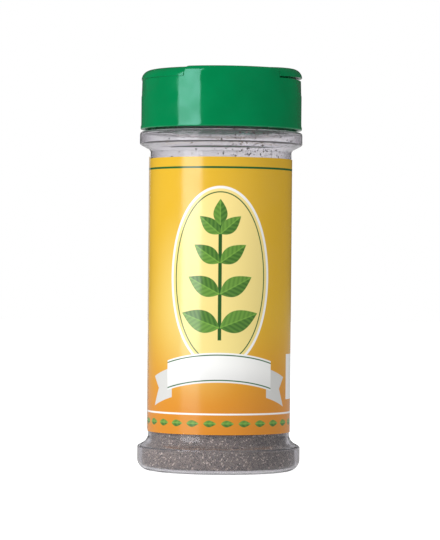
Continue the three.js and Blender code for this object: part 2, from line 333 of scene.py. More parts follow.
def place(piece: bpy.types.Object, slot: str, *nodes: str, body: str = ROOT_BODY) -> None:
    """Lets a finished piece ride on its body, and hides the solids that it stands for.

    Args:
        piece: The finished piece.
        slot: Material slot of the record; it is not used.
        nodes: Solids that the piece stands for.
        body: Body that carries the piece.
    """
    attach(piece, body)
    if nodes:
        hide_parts(*nodes)
    LOG.info("%s rides on %s with %d faces", piece.name, body, len(piece.data.polygons))


class NodePen:
    """Writes nodes into a shader or geometry tree and wires sockets and plain values alike."""

    def __init__(self, tree: bpy.types.NodeTree) -> None:
        """Starts writing in a tree."""
        self.tree = tree

    def feed(self, socket: bpy.types.NodeSocket, value: Wire) -> None:
        """Wires a socket, or sets its value.

        Args:
            socket: The input to feed.
            value: An output socket, or a plain value.
        """
        if isinstance(value, bpy.types.NodeSocket):
            self.tree.links.new(value, socket)
        elif isinstance(value, tuple) and socket.type == "RGBA" and len(value) == 3:
            socket.default_value = (*value, 1.0)
        else:
            socket.default_value = value

    def wire(self, node: bpy.types.Node, inputs: dict) -> None:
        """Feeds several inputs of a node, by name or number."""
        for key, value in inputs.items():
            self.feed(node.inputs[key], value)

    def add(self, kind: str, inputs: dict | None = None, **settings: object) -> bpy.types.Node:
        """Adds a node.

        Args:
            kind: Blender's type name of the node.
            inputs: What feeds each input, by name or number.
            settings: Properties of the node.

        Returns:
            The new node.
        """
        node = self.tree.nodes.new(kind)
        for name, value in settings.items():
            setattr(node, name, value)
        self.wire(node, inputs or {})
        return node

    def math(self, operation: str, *values: Wire) -> bpy.types.NodeSocket:
        """Works out one step of arithmetic.

        Args:
            operation: Blender's name of the operation.
            values: One to three values.

        Returns:
            The result's socket.
        """
        return self.add("ShaderNodeMath", dict(enumerate(values)), operation=operation).outputs[0]

    def rise(self, value: Wire, low: float, high: float) -> bpy.types.NodeSocket:
        """Eases from 0 at low to 1 at high, which may be the lower of the two.

        Args:
            value: The value that is read.
            low: Where the result is 0.
            high: Where the result is 1.

        Returns:
            The result's socket.
        """
        inputs = {"Value": value, "From Min": low, "From Max": high}
        return self.add("ShaderNodeMapRange", inputs, interpolation_type="SMOOTHSTEP").outputs[0]

    def within(self, value: Wire, half: float, soft: float = 0.08) -> bpy.types.NodeSocket:
        """Masks the values below half, with an edge that is soft by some on both sides."""
        return self.rise(value, half + soft, half - soft)

    def reach(self, across: Wire, up: Wire) -> bpy.types.NodeSocket:
        """Gives the straight distance made by two distances at a right angle."""
        squares = [self.math("POWER", side, 2.0) for side in (across, up)]
        return self.math("SQRT", self.math("ADD", *squares))

    def blend(self, share: Wire, under: Wire, over: Wire) -> bpy.types.NodeSocket:
        """Lays one colour over another.

        Args:
            share: How much of the upper colour covers the lower.
            under: Lower colour.
            over: Upper colour.

        Returns:
            The blended colour's socket.
        """
        return self.add("ShaderNodeMix", {0: share, 6: under, 7: over}, data_type="RGBA").outputs[2]

    def noise(
        self, spot: Wire, scale: Wire, detail: float = 3.0, roughness: float = 0.5,
    ) -> bpy.types.NodeSocket:
        """Draws a smooth random field.

        Args:
            spot: Coordinates.
            scale: Waves per unit.
            detail: Octaves.
            roughness: Share of the finer octaves.

        Returns:
            A value about 0.5.
        """
        inputs = {"Vector": spot, "Scale": scale, "Detail": detail, "Roughness": roughness}
        return self.add("ShaderNodeTexNoise", inputs).outputs["Fac"]


def shader_group(name: str, inputs: dict[str, str], outputs: dict[str, str]) -> tuple[NodePen, dict, dict]:
    """Starts a shader node group.

    Args:
        name: Name of the group.
        inputs: Socket type of each named input.
        outputs: Socket type of each named output.

    Returns:
        A pen in the group, the inputs as sockets to wire from, and the outputs as sockets to feed.
    """
    tree = bpy.data.node_groups.new(name, "ShaderNodeTree")
    for title, kind in inputs.items():
        tree.interface.new_socket(title, in_out="INPUT", socket_type=kind)
    for title, kind in outputs.items():
        tree.interface.new_socket(title, in_out="OUTPUT", socket_type=kind)
    pen = NodePen(tree)
    entry = pen.add("NodeGroupInput")
    leave = pen.add("NodeGroupOutput")
    given = {title: entry.outputs[title] for title in inputs}
    wanted = {title: leave.inputs[title] for title in outputs}
    return pen, given, wanted


FLOAT = "NodeSocketFloat"
VECTOR = "NodeSocketVector"


class Effects:
    """Shader groups that several finishes share, each built once."""

    def __init__(self) -> None:
        """Builds every group."""
        self.ripple = self._mould_ripple()
        self.handling = self._handling_marks()
        self.leaf = self._leaf_mark()

    @staticmethod
    def _mould_ripple() -> bpy.types.NodeTree:
        """Builds the slow unevenness of moulded plastic, as a height."""
        sockets = {"Place": VECTOR, "Waves": FLOAT}
        pen, given, wanted = shader_group("mould_ripple", sockets, {"Height": FLOAT})
        broad = pen.noise(given["Place"], given["Waves"], 1.0)
        fine = pen.noise(given["Place"], pen.math("MULTIPLY", given["Waves"], 14.0), 2.0)
        grain = pen.math("MULTIPLY", fine, 0.06)
        pen.feed(wanted["Height"], pen.math("ADD", broad, grain))
        return pen.tree

    @staticmethod
    def _handling_marks() -> bpy.types.NodeTree:
        """Builds the patchy dulling that hands and shelves leave, as a roughness."""
        sockets = {"Place": VECTOR, "Clean": FLOAT, "Dull": FLOAT}
        pen, given, wanted = shader_group("handling_marks", sockets, {"Roughness": FLOAT})
        patches = pen.noise(given["Place"], 70.0, 4.0, 0.62)
        share = pen.rise(patches, 0.42, 0.72)
        spread = pen.math("SUBTRACT", given["Dull"], given["Clean"])
        pen.feed(wanted["Roughness"], pen.math("MULTIPLY_ADD", spread, share, given["Clean"]))
        return pen.tree

    @staticmethod
    def _leaf_mark() -> bpy.types.NodeTree:
        """Builds one printed pointed leaf on a flat sheet, as a mask with a shade across it."""
        names = ("U", "V", "Base U", "Base V", "Turn", "Length", "Width")
        outputs = {"Mask": FLOAT, "Shade": FLOAT}
        pen, given, wanted = shader_group("leaf_mark", dict.fromkeys(names, FLOAT), outputs)
        across = pen.math("SUBTRACT", given["U"], given["Base U"])
        up = pen.math("SUBTRACT", given["V"], given["Base V"])
        cos = pen.math("COSINE", given["Turn"])
        sin = pen.math("SINE", given["Turn"])
        along = pen.math("MULTIPLY_ADD", across, cos, pen.math("MULTIPLY", up, sin))
        beside = pen.math("SUBTRACT", pen.math("MULTIPLY", up, cos), pen.math("MULTIPLY", across, sin))
        share = pen.math("DIVIDE", along, given["Length"])
        lens = pen.math("MULTIPLY", share, pen.math("SUBTRACT", 1.0, share))
        full = pen.math("MULTIPLY", lens, pen.math("SUBTRACT", 5.2, pen.math("MULTIPLY", share, 2.4)))
        half = pen.math("MULTIPLY", full, pen.math("MULTIPLY", given["Width"], 0.5))
        spare = pen.math("SUBTRACT", half, pen.math("ABSOLUTE", beside))
        within = pen.math("MULTIPLY", pen.rise(share, 0.0, 0.01), pen.rise(share, 1.0, 0.99))
        pen.feed(wanted["Mask"], pen.math("MULTIPLY", pen.rise(spare, 0.0, 0.18), within))
        slant = pen.math("SUBTRACT", along, pen.math("MULTIPLY", pen.math("ABSOLUTE", beside), 0.8))
        veins = pen.math("MULTIPLY", pen.math("SINE", pen.math("MULTIPLY", slant, 3.4)), 0.12)
        lit = pen.math("MULTIPLY", pen.rise(beside, -0.06, 0.06), 0.3)
        rib = pen.math("MULTIPLY", pen.rise(pen.math("ABSOLUTE", beside), 0.28, 0.12), 0.4)
        shade = pen.math("ADD", pen.math("ADD", lit, veins), pen.math("ADD", rib, 0.3))
        pen.feed(wanted["Shade"], shade)
        return pen.tree


def new_material(name: str) -> tuple[bpy.types.Material, NodePen, bpy.types.Node]:
    """Starts a material.

    Args:
        name: Name of the material.

    Returns:
        The material, a pen in its tree, and its Principled node, already wired to the output.
    """
    material = bpy.data.materials.new(name)
    material.use_nodes = True
    pen = NodePen(material.node_tree)
    shader = next(n for n in material.node_tree.nodes if n.type == "BSDF_PRINCIPLED")
    return material, pen, shader


def object_place(pen: NodePen) -> bpy.types.NodeSocket:
    """Gives a piece's own coordinates in metres."""
    return pen.add("ShaderNodeTexCoord").outputs["Object"]


def rippled(pen: NodePen, effects: Effects, waves: float, depth: float) -> bpy.types.NodeSocket:
    """Gives the normal of an uneven moulded surface.

    Args:
        pen: Pen in the material's tree.
        effects: The shared groups.
        waves: Waves per metre.
        depth: Height of the waves in metres.

    Returns:
        The bent normal's socket.
    """
    inputs = {"Place": object_place(pen), "Waves": waves}
    ripple = pen.add("ShaderNodeGroup", inputs, node_tree=effects.ripple)
    bump = pen.add("ShaderNodeBump", {"Distance": depth, "Height": ripple.outputs["Height"]})
    return bump.outputs["Normal"]


def handled(pen: NodePen, effects: Effects, clean: float, dull: float) -> bpy.types.NodeSocket:
    """Gives a patchy roughness between a clean and a dull value."""
    inputs = {"Place": object_place(pen), "Clean": clean, "Dull": dull}
    return pen.add("ShaderNodeGroup", inputs, node_tree=effects.handling).outputs["Roughness"]


@dataclass(frozen=True)
class ClearPlastic:
    """Blown clear plastic with a slightly wavy skin and a milky haze, and painted shade that greys its
    upright walls where they are seen edge-on.
    """

    tint: Colour = (0.9, 0.885, 0.915)
    # Painted shade: grey colour taken where an upright wall is seen edge-on.
    painted_edge_shade: Colour = (0.38, 0.36, 0.39)
    sheen: Colour = (0.6, 0.6, 0.63)
    clear: float = 0.96
    bending: float = 1.36
    crisp: float = 0.04
    hazy: float = 0.08
    haze_rise: Point = (0.03, 0.112)
    edge_shade_facing: Point = (0.3, 0.88)
    upright: Point = (0.7, 0.15)
    waves: float = 60.0
    depth: float = 0.00012

    def material(self, effects: Effects) -> bpy.types.Material:
        """Builds the finish.

        Args:
            effects: The shared groups.

        Returns:
            The new material.
        """
        material, pen, shader = new_material("clear_plastic")
        facing = pen.add("ShaderNodeLayerWeight", {"Blend": 0.5}).outputs["Facing"]
        normal = pen.add("ShaderNodeNewGeometry").outputs["Normal"]
        slope = pen.add("ShaderNodeSeparateXYZ", {0: normal}).outputs["Z"]
        upright = pen.rise(pen.math("ABSOLUTE", slope), *self.upright)
        # Painted shade: mask of the upright walls seen edge-on, where the base colour turns to the painted
        # edge shade.
        edge = pen.math("MULTIPLY", pen.rise(facing, *self.edge_shade_facing), upright)
        height = pen.add("ShaderNodeSeparateXYZ", {0: object_place(pen)}).outputs["Z"]
        haze = pen.rise(height, *self.haze_rise)
        marks = handled(pen, effects, self.crisp, self.crisp * 2)
        pen.wire(shader, {
            "Base Color": pen.blend(edge, self.tint, self.painted_edge_shade),
            "Transmission Weight": self.clear,
            "IOR": self.bending,
            "Specular Tint": self.sheen,
            "Roughness": pen.math("MULTIPLY_ADD", haze, self.hazy - self.crisp, marks),
            "Normal": rippled(pen, effects, self.waves, self.depth),
        })
        passing = pen.add("ShaderNodeBsdfTransparent", {"Color": self.tint})
        shadow = pen.add("ShaderNodeLightPath").outputs["Is Shadow Ray"]
        mix = pen.add("ShaderNodeMixShader", {0: shadow, 1: shader.outputs[0], 2: passing.outputs[0]})
        output = next(n for n in pen.tree.nodes if n.type == "OUTPUT_MATERIAL")
        pen.feed(output.inputs["Surface"], mix.outputs[0])
        return material


@dataclass(frozen=True)
class GreenPlastic:
    """Glossy coloured plastic of the cap and its flaps."""

    colour: Colour = (0.0, 0.195, 0.06)
    thin: Colour = (0.0, 0.225, 0.072)
    sheen: Colour = (0.5, 1.0, 1.0)
    bending: float = 1.6
    clean: float = 0.05
    dull: float = 0.16
    gloss_least: float = 0.38
    gloss_gain: float = 0.22
    cloud_waves: float = 55.0
    smear_waves: float = 130.0
    waves: float = 90.0
    depth: float = 0.00006

    def material(self, effects: Effects) -> bpy.types.Material:
        """Builds the finish.

        Args:
            effects: The shared groups.

        Returns:
            The new material.
        """
        material, pen, shader = new_material("green_plastic")
        cloud = pen.rise(pen.noise(object_place(pen), self.cloud_waves), 0.35, 0.7)
        smears = pen.rise(pen.noise(object_place(pen), self.smear_waves, 2.0), 0.3, 0.7)
        pen.wire(shader, {
            "Base Color": pen.blend(cloud, self.colour, self.thin),
            "IOR": self.bending,
            "Specular Tint": self.sheen,
            "Specular IOR Level": pen.math("MULTIPLY_ADD", smears, self.gloss_gain, self.gloss_least),
            "Roughness": handled(pen, effects, self.clean, self.dull),
            "Normal": rippled(pen, effects, self.waves, self.depth),
        })
        return material


@dataclass(frozen=True)
class DriedLeaf:
    """Crumbled dried leaves: olive, brown and straw flecks."""

    dark: Colour = (0.02, 0.016, 0.012)
    olive: Colour = (0.104, 0.085, 0.066)
    brown: Colour = (0.215, 0.166, 0.134)
    straw: Colour = (0.62, 0.52, 0.44)

    def material(self, name: str, flakes: bool) -> bpy.types.Material:
        """Builds the finish.

        Args:
            name: Name of the material.
            flakes: True for loose flakes, which carry a tint each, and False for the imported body.

        Returns:
            The new material.
        """
        material, pen, shader = new_material(name)
        spot = object_place(pen)
        if flakes:
            own = pen.add("ShaderNodeAttribute", attribute_name="tint").outputs["Fac"]
            mottle = pen.math("MULTIPLY", pen.math("SUBTRACT", pen.noise(spot, 2600.0), 0.5), 0.35)
            tone = pen.math("ADD", own, mottle)
        else:
            tone = pen.noise(spot, 1500.0, 4.0, 0.7)
        ramp = pen.add("ShaderNodeValToRGB", {"Fac": tone})
        stops = ramp.color_ramp.elements
        stops[0].position, stops[0].color = 0.12, (*self.dark, 1.0)
        stops[1].position, stops[1].color = 0.97, (*self.straw, 1.0)
        for position, colour in ((0.45, self.olive), (0.78, self.brown)):
            stop = stops.new(position)
            stop.color = (*colour, 1.0)
        bump = pen.add("ShaderNodeBump", {"Distance": 0.0002, "Height": pen.noise(spot, 3000.0)})
        pen.wire(shader, {
            "Base Color": ramp.outputs["Color"],
            "Roughness": pen.math("MULTIPLY_ADD", pen.noise(spot, 900.0), 0.3, 0.6),
            "Normal": bump.outputs["Normal"],
        })
        return material


@dataclass(frozen=True)
class PrintedFilm:
    """Satin film with a generic herb print: an oval medallion, a sprig, a blank ribbon and leaf bands."""

    yellow: Colour = (0.75, 0.45, 0.028)
    orange: Colour = (0.69, 0.25, 0.014)
    glow: Colour = (0.88, 0.72, 0.26)
    white: Colour = (0.92, 0.92, 0.9)
    green: Colour = (0.012, 0.12, 0.03)
    leaf_dark: Colour = (0.02, 0.1, 0.015)
    leaf_light: Colour = (0.2, 0.42, 0.06)
    cream: Colour = (0.95, 0.76, 0.28)
    paper_shade: Colour = (0.8, 0.8, 0.79)
    fold: Colour = (0.66, 0.66, 0.64)
    back_dark: Colour = (0.72, 0.72, 0.7)
    back_light: Colour = (0.86, 0.86, 0.84)
    bending: float = 1.58
    clean: float = 0.17
    dull: float = 0.26
    waves: float = 120.0
    depth: float = 0.00004
    oval_v: float = 55.0
    oval_half_u: float = 17.5
    oval_half_v: float = 31.0
    ribbon_v: float = 19.5
    ribbon_half_v: float = 5.2
    ribbon_half_u: float = 23.0
    ribbon_bow: float = 4.0
    tail_drop: float = 3.0
    tail_notch: float = 0.55
    tail_reach: float = 1.8
    panel_u: float = 41.0
    panel_v: float = 20.0
    panel_half_u: float = 11.0
    panel_half_v: float = 8.0

    def _inside(self, pen: NodePen, u: Wire, v: Wire, grow: float) -> bpy.types.NodeSocket:
        """Gives the mask of the medallion, grown by some millimetres."""
        across = pen.math("DIVIDE", u, self.oval_half_u + grow)
        up = pen.math("DIVIDE", pen.math("SUBTRACT", v, self.oval_v), self.oval_half_v + grow)
        return pen.within(pen.reach(across, up), 1.0, 0.004)

    def _ground(self, pen: NodePen, u: Wire, v: Wire) -> bpy.types.NodeSocket:
        """Gives the yellow to orange ground with its pale glow."""
        low = pen.rise(v, 46.0, 2.0)
        ground = pen.blend(low, self.yellow, self.orange)
        across = pen.math("DIVIDE", pen.math("ADD", u, 8.0), 26.0)
        up = pen.math("DIVIDE", pen.math("SUBTRACT", v, 46.0), 40.0)
        glow = pen.math("MULTIPLY", pen.rise(pen.reach(across, up), 1.0, 0.0), 0.8)
        return pen.blend(glow, ground, self.glow)

    def _leaf(
        self, pen: NodePen, leaf: bpy.types.NodeTree, u: Wire, v: Wire, under: Wire, spot: Sequence,
    ) -> Wire:
        """Prints one leaf.

        Args:
            pen: Pen in the material's tree.
            leaf: The leaf group.
            u: Way round the sheet in millimetres.
            v: Way up the sheet in millimetres.
            under: Colour that is printed on.
            spot: Base U, base V, turn in degrees, length and width of the leaf.

        Returns:
            The printed colour.
        """
        base_u, base_v, turn, length, width = spot
        inputs = {
            "U": u, "V": v, "Base U": base_u, "Base V": base_v,
            "Turn": math.radians(turn), "Length": length, "Width": width,
        }
        node = pen.add("ShaderNodeGroup", inputs, node_tree=leaf)
        colour = pen.blend(node.outputs["Shade"], self.leaf_dark, self.leaf_light)
        return pen.blend(node.outputs["Mask"], under, colour)

    def _sprig(self, pen: NodePen, leaf: bpy.types.NodeTree, u: Wire, v: Wire, under: Wire) -> Wire:
        """Prints a stem with paired leaves that get smaller towards its tip."""
        foot, tip = 33.0, 76.0
        stem = pen.rise(pen.math("ABSOLUTE", u), 0.75, 0.5)
        reach = pen.math("MULTIPLY", pen.rise(v, foot - 0.2, foot + 0.2), pen.rise(v, tip, tip - 0.4))
        colour = pen.blend(pen.math("MULTIPLY", stem, reach), under, self.leaf_dark)
        for pair, share in enumerate((0.1, 0.36, 0.6, 0.82)):
            length = lerp(15.5, 8.5, share)
            base = lerp(foot, tip, share)
            lift = lerp(18.0, 46.0, share)
            for turn in (lift, 180.0 - lift):
                spot = (0.0, base + 0.6 * pair, turn, length, 0.52 * length)
                colour = self._leaf(pen, leaf, u, v, colour, spot)
        return self._leaf(pen, leaf, u, v, colour, (0.0, tip - 3.0, 90.0, 9.5, 5.0))

    def _ribbon(self, pen: NodePen, u: Wire, v: Wire, under: Wire) -> Wire:
        """Prints a blank white ribbon that bows upwards, with folded ends."""
        half_u, half_v, soft = self.ribbon_half_u, self.ribbon_half_v, 0.1
        bow = pen.math("MULTIPLY", pen.math("POWER", pen.math("DIVIDE", u, half_u), 2.0), -self.ribbon_bow)
        level = pen.math("SUBTRACT", v, pen.math("ADD", bow, self.ribbon_v + self.ribbon_bow))
        wide = pen.math("ABSOLUTE", u)
        tall = pen.math("ABSOLUTE", level)
        tail_level = pen.math("ABSOLUTE", pen.math("ADD", level, self.tail_drop))
        notch = pen.math("MULTIPLY_ADD", tail_level, self.tail_notch, half_u + self.tail_reach)
        before_notch = pen.within(pen.math("SUBTRACT", wide, notch), 0.0, soft)
        tail = pen.math("MULTIPLY", pen.within(tail_level, half_v, soft), before_notch)
        tail = pen.math("MULTIPLY", tail, pen.rise(wide, half_u - 5.2, half_u - 5.0))
        colour = pen.blend(tail, under, self.fold)
        body = pen.math("MULTIPLY", pen.within(tall, half_v, soft), pen.within(wide, half_u - 3.0, soft))
        paper = pen.blend(pen.rise(level, -half_v, half_v * 0.4), self.paper_shade, self.white)
        edge = pen.rise(tall, half_v - 1.1, half_v - 0.9)
        line = pen.math("MULTIPLY", edge, pen.within(tall, half_v - 0.6, soft))
        paper = pen.blend(line, paper, self.green)
        return pen.blend(body, colour, paper)

    def _bands(self, pen: NodePen, leaf: bpy.types.NodeTree, u: Wire, v: Wire, under: Wire) -> Wire:
        """Prints a plain green band at the top and a band of small leaves at the foot."""
        colour = under
        for middle, half, ink in ((93.4, 0.35, self.green), (7.2, 0.3, self.white)):
            away = pen.math("ABSOLUTE", pen.math("SUBTRACT", v, middle))
            colour = pen.blend(pen.within(away, half), colour, ink)
        step = 6.2
        beat = pen.math("SUBTRACT", pen.math("MODULO", pen.math("ADD", u, 100.0 * step), step), step / 2)
        return self._leaf(pen, leaf, beat, v, colour, (-2.4, 3.9, 0.0, 4.8, 2.5))

    def _panel(self, pen: NodePen, u: Wire, v: Wire, under: Wire) -> Wire:
        """Prints a blank white panel at the side."""
        away_u = pen.math("ABSOLUTE", pen.math("SUBTRACT", u, self.panel_u))
        away_v = pen.math("ABSOLUTE", pen.math("SUBTRACT", v, self.panel_v))
        across = pen.within(away_u, self.panel_half_u)
        mask = pen.math("MULTIPLY", across, pen.within(away_v, self.panel_half_v))
        return pen.blend(mask, under, self.white)

    def material(self, effects: Effects) -> bpy.types.Material:
        """Builds the printed face.

        Args:
            effects: The shared groups.

        Returns:
            The new material.
        """
        material, pen, shader = new_material("label_print")
        sheet = pen.add("ShaderNodeUVMap", uv_map="wrap").outputs["UV"]
        split = pen.add("ShaderNodeSeparateXYZ", {0: sheet})
        u = pen.math("MULTIPLY", split.outputs["X"], 1000.0)
        v = pen.math("MULTIPLY", split.outputs["Y"], 1000.0)
        colour = self._ground(pen, u, v)
        line = self._inside(pen, u, v, 0.9)
        colour = pen.blend(line, colour, self.white)
        within = self._inside(pen, u, v, 0.0)
        cream = pen.blend(pen.rise(v, 84.0, 30.0), self.cream, self.glow)
        colour = pen.blend(within, colour, cream)
        ring = pen.math("SUBTRACT", self._inside(pen, u, v, -1.0), self._inside(pen, u, v, -1.4))
        colour = pen.blend(ring, colour, self.green)
        colour = self._sprig(pen, effects.leaf, u, v, colour)
        colour = self._ribbon(pen, u, v, colour)
        colour = self._bands(pen, effects.leaf, u, v, colour)
        colour = self._panel(pen, u, v, colour)
        pen.wire(shader, {
            "Base Color": colour,
            "IOR": self.bending,
            "Roughness": handled(pen, effects, self.clean, self.dull),
            "Normal": rippled(pen, effects, self.waves, self.depth),
        })
        return material

    def back(self) -> bpy.types.Material:
        """Builds the unprinted back and cut edges of the film."""
        material, pen, shader = new_material("label_back")
        fibre = pen.noise(object_place(pen), 1400.0)
        pen.wire(shader, {
            "Base Color": pen.blend(fibre, self.back_dark, self.back_light),
            "Roughness": pen.math("MULTIPLY_ADD", fibre, 0.2, 0.45),
        })
        return material


@dataclass
class Jar:
    """The blown jar: push-up base, base ring, straight panel, bead and threaded neck, in millimetres."""

    ring: float = 29.05
    panel: float = 25.2
    wall: float = 0.8
    foot_inner: float = 20.4
    foot_outer: float = 24.9
    push_up: float = 3.0
    flare_top: float = 13.0
    flare_fillet: float = 3.8
    ledge_turn: float = 62.0
    ledge_corner: float = 0.9
    bead_start: float = 113.2
    bead_fillet: float = 1.6
    bead_high: float = 119.6
    bead_corner: float = 1.1
    neck_ease: float = 0.4
    lip: float = 137.8
    inner_rounds: int = 5
    sides: int = 192

    def _ledge(self, panel_z: float, fillet: float, direction: int) -> list[Point]:
        """Draws a ledge from the panel out to a ring: a hollow fillet, a slope and a rounded corner.

        Args:
            panel_z: Height where the ledge leaves the panel.
            fillet: Radius of the hollow fillet.
            direction: 1 for a ledge that climbs outwards, -1 for one that falls.

        Returns:
            The ledge's points, from the panel outwards.
        """
        turn = math.radians(self.ledge_turn)
        hollow = arc((self.panel + fillet, 0.0), fillet, 180.0, 180.0 - self.ledge_turn)
        centre = self.ring - self.ledge_corner
        run = centre + self.ledge_corner * math.cos(turn) - hollow[-1][0]
        rise = hollow[-1][1] + run / math.tan(turn) + self.ledge_corner * math.sin(turn)
        corner = arc((centre, rise), self.ledge_corner, -self.ledge_turn, 0.0, 8)
        return [(radius, panel_z + direction * height) for radius, height in (*hollow, *corner)]

    def outside(self) -> list[Point]:
        """Draws the outside, from the middle of the underside up to the lip."""
        heel = self.ring - self.foot_outer
        shares = [i / 10 for i in range(11)]
        return [
            *((self.foot_inner * t, self.push_up * (1 - eased(t))) for t in shares),
            *arc((self.foot_outer, heel), heel, -90.0, 0.0),
            *reversed(self._ledge(self.flare_top, self.flare_fillet, -1)),
            *straight((self.panel, self.flare_top), (self.panel, self.bead_start), 16),
            *self._ledge(self.bead_start, self.bead_fillet, 1),
            *arc((self.ring - self.bead_corner, self.bead_high), self.bead_corner, 0.0, 90.0, 8),
            (self.panel + self.neck_ease, self.bead_high + self.bead_corner),
            (self.panel, self.bead_high + self.bead_corner + self.neck_ease),
            (self.panel, self.lip),
        ]

    def inside(self) -> list[Point]:
        """Draws the inside, whose corners are softer, from the middle of the floor up to the lip."""
        inner = offset(self.outside(), self.wall)
        for _ in range(self.inner_rounds):
            near = zip(inner, inner[1:], inner[2:])
            eased_in = [((a[0] + 2 * b[0] + c[0]) / 4, (a[1] + 2 * b[1] + c[1]) / 4) for a, b, c in near]
            inner = [inner[0], *eased_in, inner[-1]]
        return [(0.0, inner[0][1]), *inner[1:]]

    def build(self, finish: bpy.types.Material, thread: bpy.types.Object) -> bpy.types.Object:
        """Builds the jar with its neck thread.

        Args:
            finish: Material of the jar.
            thread: The thread ridge, which is used up.

        Returns:
            The finished piece.
        """
        jar = turned("clear_jar", [*self.outside(), *reversed(self.inside())], self.sides)
        shape(jar, thread, Cut.JOIN)
        soften(jar, 0.0)
        paint(jar, finish)
        place(jar, "clear_plastic", "jar")
        return jar


def geometry_tree(name: str, inputs: dict[str, str]) -> tuple[NodePen, dict, bpy.types.NodeSocket]:
    """Starts a geometry node tree with one geometry going in and one coming out.

    Args:
        name: Name of the tree.
        inputs: Socket type of each named input after the geometry.

    Returns:
        A pen in the tree, the inputs as sockets to wire from, and the output socket to feed.
    """
    tree = bpy.data.node_groups.new(name, "GeometryNodeTree")
    tree.interface.new_socket("Ground", in_out="INPUT", socket_type="NodeSocketGeometry")
    for title, kind in inputs.items():
        tree.interface.new_socket(title, in_out="INPUT", socket_type=kind)
    tree.interface.new_socket("Pieces", in_out="OUTPUT", socket_type="NodeSocketGeometry")
    pen = NodePen(tree)
    entry = pen.add("NodeGroupInput")
    leave = pen.add("NodeGroupOutput")
    given = {title: entry.outputs[title] for title in ("Ground", *inputs)}
    return pen, given, leave.inputs["Pieces"]


def grown(name: str, ground: bpy.types.Object, tree: bpy.types.NodeTree, values: dict) -> bpy.types.Object:
    """Runs a geometry node tree on a mesh and keeps the result as a plain piece.

    Args:
        name: Name of the new piece.
        ground: Mesh that the tree reads, which is left as it is.
        tree: The tree.
        values: Value of each named input.

    Returns:
        The new piece.
    """
    piece = bpy.data.objects.new(name, ground.data.copy())
    bpy.context.scene.collection.objects.link(piece)
    job = piece.modifiers.new(name, "NODES")
    job.node_group = tree
    for item in tree.interface.items_tree:
        if item.name in values:
            job[item.identifier] = values[item.name]
    return settle(piece)


@dataclass
class NeckThread:
    """The screw ridge round a neck, drawn by a tree from a spiral and a section, in millimetres."""

    wall: float = 25.2
    start: float = 126.5
    pitch: float = 4.2
    turns: float = 1.2
    ridge: float = 1.15

    def build(self) -> bpy.types.Object:
        """Builds the ridge as a closed tube, half sunk in the neck."""
        kinds = {"Radius": FLOAT, "Rise": FLOAT, "Turns": FLOAT, "Ridge": FLOAT}
        pen, given, result = geometry_tree("screw_ridge", kinds)
        spiral = pen.add("GeometryNodeCurveSpiral", {
            "Resolution": 96, "Rotations": given["Turns"], "Start Radius": given["Radius"],
            "End Radius": given["Radius"], "Height": given["Rise"],
        })
        section = pen.add("GeometryNodeCurvePrimitiveCircle", {"Resolution": 12, "Radius": given["Ridge"]})
        tube = pen.add("GeometryNodeCurveToMesh", {
            "Curve": spiral.outputs[0], "Profile Curve": section.outputs[0], "Fill Caps": True,
        })
        lift = {"Geometry": tube.outputs[0], "Translation": (0, 0, self.start * MM)}
        lifted = pen.add("GeometryNodeTransform", lift)
        pen.feed(result, pen.add("GeometryNodeRealizeInstances", {0: lifted.outputs[0]}).outputs[0])
        seed = new_piece("thread_seed", [(0, 0, 0)], [])
        ridge = grown("neck_thread", seed, pen.tree, {
            "Radius": self.wall * MM, "Rise": self.pitch * self.turns * MM,
            "Turns": self.turns, "Ridge": self.ridge * MM,
        })
        drop(seed)
        return ridge


@dataclass
class Label:
    """The printed film, wrapped once round the panel with its end lapped over its start, in millimetres."""

    low: float = 13.9
    high: float = 111.0
    radius: float = 25.35
    thickness: float = 0.15
    lap: float = 18.0
    ramp: float = 14.0
    lift: float = 0.22
    skew: float = 0.7
    end: float = 179.25
    front: float = FRONT
    columns: int = 300
    rows: int = 48

    def _column(self, share: float) -> tuple[float, float, float]:
        """Gives one column of the wrap.

        Args:
            share: Share of the film's length, from its start to its end.

        Returns:
            Its angle in degrees, inner radius and how far the skewed wrap climbs there.
        """
        around = 360.0 + self.lap
        travelled = around * share
        climb = min(max((travelled - 360.0 + self.ramp) / self.ramp, 0.0), 1.0)
        rise = self.skew * eased(max(0.0, (travelled - 300.0) / (around - 300.0)))
        return self.end - around + travelled, self.radius + self.lift * eased(climb), rise

    def build(self, front: bpy.types.Material, back: bpy.types.Material) -> bpy.types.Object:
        """Builds the film with its printed face outside.

        Args:
            front: Finish of the printed face.
            back: Finish of the back and the cut edges.

        Returns:
            The finished piece.
        """
        vertices, sheet = [], []
        for skin in (self.thickness, 0.0):
            for i in range(self.columns + 1):
                angle, radius, rise = self._column(i / self.columns)
                turn = math.radians(angle)
                reach = (radius + skin) * MM
                for j in range(self.rows + 1):
                    height = lerp(self.low, self.high, j / self.rows) + rise
                    vertices.append((reach * math.cos(turn), reach * math.sin(turn), height * MM))
                    along = math.radians(angle - self.front) * self.radius * MM
                    sheet.append((along, (height - self.low) * MM))
        tall = self.rows + 1
        layer = (self.columns + 1) * tall
        faces, printed = [], []
        for i in range(self.columns):
            for j in range(self.rows):
                a, b = i * tall + j, (i + 1) * tall + j
                faces.append((a, b, b + 1, a + 1))
                printed.append(True)
                faces.append((layer + a, layer + a + 1, layer + b + 1, layer + b))
                printed.append(False)
        rim = [i * tall for i in range(self.columns + 1)]
        rim += [self.columns * tall + j for j in range(1, tall)]
        rim += [i * tall + self.rows for i in reversed(range(self.columns))]
        rim += reversed(range(1, self.rows))
        for a, b in zip(rim, rim[1:] + rim[:1]):
            faces.append((a, layer + a, layer + b, b))
            printed.append(False)
        label = new_piece("wrap_label", vertices, faces)
        wrap = label.data.uv_layers.new(name="wrap")
        for loop in label.data.loops:
            wrap.data[loop.index].uv = sheet[loop.vertex_index]
        label.data.materials.append(front)
        label.data.materials.append(back)
        label.data.polygons.foreach_set("material_index", [0 if face else 1 for face in printed])
        soften(label, 0.0)
        place(label, "label_film", "label")
        return label


